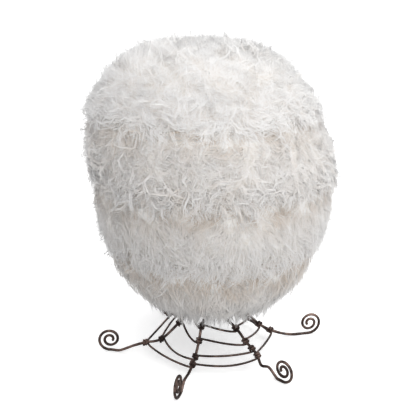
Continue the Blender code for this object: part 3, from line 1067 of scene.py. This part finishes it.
@dataclass
class WireStand:
    """The display stand: six spiral-footed legs, two web wires, a collar and a plain post."""

    form: HatForm
    finish: bpy.types.Material
    radius: float = 0.117
    shift: float = -0.0035
    hub_height: float = 0.070
    leg_wire: float = 0.0034
    web_wire: float = 0.0026
    wire_unevenness: float = 0.035
    curl_radius: float = 0.0145
    curl_inner: float = 0.0036
    curl_tightening: float = 1.2
    curl_turns: float = 1.85
    web_sag: float = 0.015
    knot_turns: int = 2
    post_radius: float = 0.0045
    saddle_radius: float = 0.030
    saddle_thickness: float = 0.004
    collar_wall: float = 0.0022
    collar_height: float = 0.008
    collar_edge: float = 0.0006
    post_edge: float = 0.0012
    sides: int = 12

    @property
    def grip(self) -> float:
        """The radius at which the legs' upper ends stand round the post."""
        return self.post_radius + GAP + self.leg_wire / 2 / WIRE_FLAT

    @property
    def rest(self) -> float:
        """The height of a wire's middle where it lies on the floor."""
        return self.leg_wire / 2 * WIRE_FLAT

    def point(self, turn: float, radius: float, height: float) -> np.ndarray:
        """A place at a turn in degrees, a radius from the stand's axis and a height."""
        angle = math.radians(turn)
        return np.array([self.shift + radius * math.cos(angle), -radius * math.sin(angle), height])

    def bend_place(self, leg: Leg, bend: Bend) -> np.ndarray:
        """Where a leg's wire passes one of its bends, with its splay growing to the foot."""
        inner = leg.knots[0].radius
        splayed = max(0.0, (bend.radius - inner) / (leg.reach - inner))
        return self.point(leg.turn + leg.splay * splayed, bend.radius * self.radius,
                          self.rest + bend.height * self.hub_height)

    def curl(self, leg: Leg, steps: int) -> np.ndarray:
        """The upright spiral of a foot: its radius shrinks as a power of what is left of it."""
        share = np.linspace(0.0, 1.0, steps + 1)
        swung = math.tau * self.curl_turns * share
        reach = self.curl_inner + ((self.curl_radius - self.curl_inner)
                                   * (1 - share) ** self.curl_tightening)
        angle = math.radians(leg.turn + leg.splay)
        out = leg.reach * self.radius + reach * np.sin(swung)
        return np.stack([self.shift + out * math.cos(angle), -out * math.sin(angle),
                         self.rest + self.curl_radius - reach * np.cos(swung)], -1)

    def route(self, leg: Leg) -> np.ndarray:
        """The bends of a leg from its top to its spiral, with a steering point at each end."""
        high = self.rest + self.hub_height
        top = self.point(leg.turn, self.grip, high)
        grip = self.point(leg.turn, self.grip, high - 1.4 * self.collar_height)
        shoulder = self.point(leg.turn, 1.7 * self.grip, high - 2.2 * self.collar_height)
        bends = [self.bend_place(leg, bend) for bend in leg.knots[::-1] + leg.run[::-1]]
        contact = self.bend_place(leg, Bend(leg.reach - 0.6 * self.curl_radius / self.radius, 0.0))
        foot = self.curl(leg, 15)
        return np.array([2 * top - grip, top, grip, shoulder, *bends, contact, foot[0], foot[1]])

    def leg_path(self, leg: Leg) -> np.ndarray:
        """The whole middle line of a leg."""
        line = np.vstack([smooth_through(self.route(leg), 7)[:-1], self.curl(leg, 64)])
        line[:, 2] = np.maximum(line[:, 2], self.rest)
        return line

    def knot(self, leg: Leg, number: int) -> tuple[np.ndarray, np.ndarray, np.ndarray]:
        """A knot's middle, the leg's direction up its wire, and sideways round the web."""
        route = self.route(leg)
        place = 4 + len(leg.knots) - 1 - number
        along = unit(route[place - 1] - route[place + 1])
        angle = math.radians(leg.turn)
        return route[place], along, np.array([math.sin(angle), math.cos(angle), 0.0])

    def wrap(self, stop: Stop) -> np.ndarray:
        """Full turns of web wire round a leg, coming and going over its upper side."""
        centre, along, sideways = self.knot(LEGS[stop.leg], stop.knot)
        over = np.cross(along, sideways)
        reach = self.leg_wire / 2 + self.web_wire / 2
        turns = self.knot_turns
        share = np.linspace(0.0, 1.0, 18 * turns + 1)[:, None]
        angle = math.pi / 2 - math.tau * turns * share
        around = sideways * np.cos(angle) + over * np.sin(angle)
        advance = turns * (self.web_wire + GAP) * (share - 0.5)
        return centre + around * reach + along * advance

    def span(self, stop: Stop, following: Stop) -> np.ndarray:
        """The web wire between two stops: a cubic that swings sideways at both ends and sags by
        the square of a sine."""
        start, end = self.wrap(stop)[-1], self.wrap(following)[0]
        run = np.linalg.norm(end - start)
        leave = self.knot(LEGS[stop.leg], stop.knot)[2] * run * stop.leave
        arrive = self.knot(LEGS[following.leg], following.knot)[2] * run * stop.arrive
        share = np.linspace(0.0, 1.0, 20)[1:-1, None]
        a, b = share ** 2, share ** 3
        line = ((2 * b - 3 * a + 1) * start + (b - 2 * a + share) * leave
                + (3 * a - 2 * b) * end + (b - a) * arrive)
        sag = self.web_sag * run * np.sin(math.pi * share[:, 0]) ** 2
        line[:, 2] = np.maximum(line[:, 2] - sag, self.web_wire)
        return line

    def web_path(self, stops: Sequence[Stop], closed: bool) -> np.ndarray:
        """A whole web wire, wound round the leg at each of its stops."""
        parts = []
        for stop, following in zip(stops, (*stops[1:], stops[0])):
            parts.append(self.wrap(stop))
            if closed or stop is not stops[-1]:
                parts.append(self.span(stop, following))
        return np.vstack(parts)

    def wire(self, name: str, path: np.ndarray, thickness: float, closed: bool,
             seed: int) -> None:
        """Make and dress one wire, whose thickness varies a little along it."""
        radius = thickness / 2 * (1 + self.wire_unevenness * ripples(path, 0.012, seed))
        piece = closed_piece(name + "_wire", *carried(path, radius, self.sides, closed))
        dress(piece, self.finish, [name])

    def rounded(self, corners: Sequence[tuple[float, float]], size: float) -> np.ndarray:
        """A profile whose corners off the axis are cut by small arcs of four steps.

        Args:
            corners: (radius, height) rows.
            size: How far along each side an arc starts.

        Returns:
            The rounded profile.
        """
        rows = np.array(corners)
        made = []
        for index, here in enumerate(rows):
            if here[0] == 0.0:
                made.append(here)
                continue
            before = unit(rows[index - 1] - here) * size
            after = unit(rows[(index + 1) % len(rows)] - here) * size
            for t in (0.0, 0.25, 0.5, 0.75, 1.0):
                made.append(here + before * (1 - t) ** 2 + after * t ** 2)
        return np.array(made)

    def collar(self) -> None:
        """Make and dress the band round the legs' upper ends."""
        inner = (self.grip + self.leg_wire / 2 + GAP) / math.cos(math.pi / 24)
        outer, top = inner + self.collar_wall, self.rest + self.hub_height - GAP
        low = top - self.collar_height
        band = self.rounded([(outer, top), (outer, low), (inner, low), (inner, top)],
                            self.collar_edge)
        piece = closed_piece("leg_collar_band", *turned(band, 64, self.shift))
        dress(piece, self.finish, ["leg_collar"])

    def post(self) -> None:
        """Make and dress the post, whose saddle meets the crown's slope from inside."""
        form = self.form
        foot = self.rest + self.hub_height - 2 * self.collar_height
        slope = form.crown_rise / form.corner_radius
        aside = form.lean * (form.crown_top - form.lean_start) / form.lean_run + self.shift
        top = form.crown_top - slope * (self.saddle_radius + abs(aside)) - form.hide_wall - GAP
        under = top - self.saddle_thickness
        stem = self.rounded([(0.0, top), (self.saddle_radius, top), (self.saddle_radius, under),
                             (self.post_radius, under), (self.post_radius, foot), (0.0, foot)],
                            self.post_edge)
        piece = closed_piece("saddle_post", *turned(stem, 48, self.shift))
        dress(piece, self.finish, ["post"])

    def build(self) -> None:
        """Make and dress all of the stand."""
        for number, leg in enumerate(LEGS):
            self.wire(leg.name, self.leg_path(leg), self.leg_wire, False, 60 + number)
        self.wire("web_ring", self.web_path(WEB_RING, True), self.web_wire, True, 71)
        self.wire("web_spiral", self.web_path(WEB_SPIRAL, False), self.web_wire, False, 72)
        self.collar()
        self.post()


@dataclass
class Studio:
    """A pale floor, soft light and the camera at the photo's viewing angle."""

    elevation: float = 20.2
    distance: float = 1.0553
    target: tuple[float, float, float] = (-0.00584, 0.0, 0.1818)
    sensor: float = 36.0
    focal_share: float = 900 / 416
    floor_size: float = 14.0
    floor_tone: Tone = (0.95, 0.95, 0.95)
    floor_bounce: Tone = (0.55, 0.55, 0.55)
    floor_glow: float = 0.4
    sky_tone: Tone = (0.98, 0.985, 1.0)
    sky: float = 0.56

    def camera(self) -> None:
        """Place the camera on a line that falls towards the hat."""
        data = bpy.data.cameras.new("view")
        data.sensor_width = self.sensor
        data.lens = self.sensor * self.focal_share
        camera = bpy.data.objects.new("view", data)
        bpy.context.scene.collection.objects.link(camera)
        angle = math.radians(self.elevation)
        camera.location = (self.target[0], self.target[1] - self.distance * math.cos(angle),
                           self.target[2] + self.distance * math.sin(angle))
        camera.rotation_euler = (math.pi / 2 - angle, 0.0, 0.0)
        bpy.context.scene.camera = camera

    def floor(self) -> None:
        """A wide pale floor, which throws less light back up at the hat than it shows."""
        corners = np.array([[-1.0, -1.0, 0.0], [1.0, -1.0, 0.0], [1.0, 1.0, 0.0],
                            [-1.0, 1.0, 0.0]]) * self.floor_size
        floor = as_piece("floor", corners, np.array([[0, 1, 2], [0, 2, 3]]))
        made, graph, shader = new_material("pale floor")
        seen = graph.add("ShaderNodeLightPath").outputs["Is Camera Ray"]
        bounce, shown = colour(self.floor_bounce), colour(self.floor_tone)
        glow = graph.mixed(seen, colour((0.0, 0.0, 0.0)), colour((1.0, 1.0, 1.0)))
        graph.feed(shader, Base_Color=graph.mixed(seen, bounce, shown), Emission_Color=glow,
                   Emission_Strength=self.floor_glow, Roughness=0.9)
        floor.data.materials.append(made)

    def lamp(self, name: str, side: tuple[float, float, float], width: float,
             strength: float, tone: Tone) -> None:
        """A far soft lamp, as wide as this many degrees of sky, that shines from this side."""
        data = bpy.data.lights.new(name, "SUN")
        data.angle = math.radians(width)
        data.energy = strength
        data.color = tone
        lamp = bpy.data.objects.new(name, data)
        bpy.context.scene.collection.objects.link(lamp)
        flat = math.hypot(side[0], side[1])
        lamp.location = side
        lamp.rotation_euler = (math.atan2(flat, side[2]), 0.0, math.atan2(side[0], -side[1]))

    def build(self) -> None:
        """Set up the whole studio. The sky looks white and shines less."""
        self.camera()
        self.floor()
        world = bpy.data.worlds.new("studio")
        world.use_nodes = True
        graph = Graph(world.node_tree)
        seen = graph.add("ShaderNodeLightPath").outputs["Is Camera Ray"]
        graph.feed(world.node_tree.nodes["Background"].inputs, Color=colour(self.sky_tone),
                   Strength=graph.maths("MULTIPLY_ADD", seen, 1.0 - self.sky, self.sky))
        bpy.context.scene.world = world
        self.lamp("key", (0.65, -0.55, 1.35), 80.0, 2.4, (1.0, 0.998, 0.99))
        self.lamp("back", (-0.35, 1.0, 1.0), 60.0, 0.6, (1.0, 1.0, 1.0))
        bpy.context.scene.view_settings.view_transform = "Standard"


def wool_tiers(form: HatForm) -> list[Tier]:
    """The four tiers with the coats that grow on each."""
    # Each tier's painted shade darkens its strands under the tier above, most on the lowest tier.
    return [
        Tier(form, "lower_fleece", 0.0, 0.2688, {
            "lower_locks": Coat(Comb.COMBED, 0.0, 0.278, 2200, 7, 3, 0.023, 0.0006, 32, 0, 38,
                                0.0014, 0.7, 0.0070, 0.25, 0.010),
            "hem_hairs": Coat(Comb.COMBED, 0.0, 0.05, 300, 7, 3, 0.019, 0.0007, 22, 4, 18,
                              0.0012, 0.6, 0.0042, 0.65, 0.008, hang=0.6),
        }, 11, painted_shade=1.25, shelter=0.020, mottle=0.3),
        Tier(form, "middle_fleece", 0.2694, 0.5238, {
            "middle_locks": Coat(Comb.COMBED, 0.284, 0.530, 2200, 7, 3, 0.024, 0.0005, 34, 0, 40,
                                 0.0018, 0.7, 0.0075, 0.25, 0.010),
            "middle_fringe": Coat(Comb.COMBED, 0.270, 0.300, 400, 6, 3, 0.020, 0.0006, 30, -22, 45,
                                  0.0016, 0.6, 0.0060, 0.35, 0.009, uneven=0.5, airy=0.4),
        }, 23, painted_shade=1.0, shelter=0.014, mottle=0.3),
        Tier(form, "upper_fleece", 0.5244, 0.7688, {
            "upper_locks": Coat(Comb.COMBED, 0.528, 0.765, 2600, 7, 3, 0.020, 0.0005, 42, 0, 60,
                                0.0024, 0.8, 0.0070, 0.26, 0.010),
            "upper_curls": Coat(Comb.COMBED, 0.556, 0.765, 360, 4, 7, 0.028, 0.0007, 38, -8, 80,
                                0.0034, 1.4, 0.0024, 0.65, 0.009, airy=0.4),
            "upper_fringe": Coat(Comb.COMBED, 0.524, 0.620, 300, 5, 6, 0.028, 0.0008, 44, -24, 80,
                                 0.0036, 1.3, 0.0032, 0.55, 0.008, uneven=0.5, airy=0.2),
        }, 37, painted_shade=0.6, mottle=0.6),
        Tier(form, "crown_fleece", 0.7694, 1.0, {
            "crown_locks": Coat(Comb.FLUFFED, 0.773, 1.0, 3500, 13, 2, 0.015, 0.0006, 46, 10, 70,
                                0.0018, 0.6, 0.0070, 0.20, 0.010),
            "crown_fringe": Coat(Comb.COMBED, 0.768, 0.825, 680, 6, 3, 0.022, 0.0006, 40, -34, 65,
                                 0.0026, 0.9, 0.0060, 0.35, 0.007, uneven=0.45),
            "crown_wisps": Coat(Comb.FLUFFED, 0.74, 1.0, 230, 4, 5, 0.025, 0.0005, 62, 24, 80,
                                0.0028, 1.0, 0.0024, 0.65, 0.008, uneven=0.35),
            "flyaway_hairs": Coat(Comb.FLUFFED, 0.15, 1.0, 1450, 2, 3, 0.022, 0.0005, 62, 38, 60,
                                  0.0020, 0.8, 0.0030, 0.50, 0.008),
        }, 53, down_depth=0.0125),
    ]


def main() -> None:
    """Build the hat, its stand and the studio."""
    logging.basicConfig(level=logging.INFO, format="%(message)s")
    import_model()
    Studio().build()
    form = HatForm()
    tone, grain = wool_tone_group(), grain_group()
    wool, undercoat = WoolFinish().material(tone), UndercoatFinish().material(grain)
    for tier in wool_tiers(form):
        tier.build(undercoat, wool)
    Hide(form).build(SuedeFinish().material(grain))
    WireStand(form, BronzeFinish().material(grain)).build()


if __name__ == "__main__":
    main()
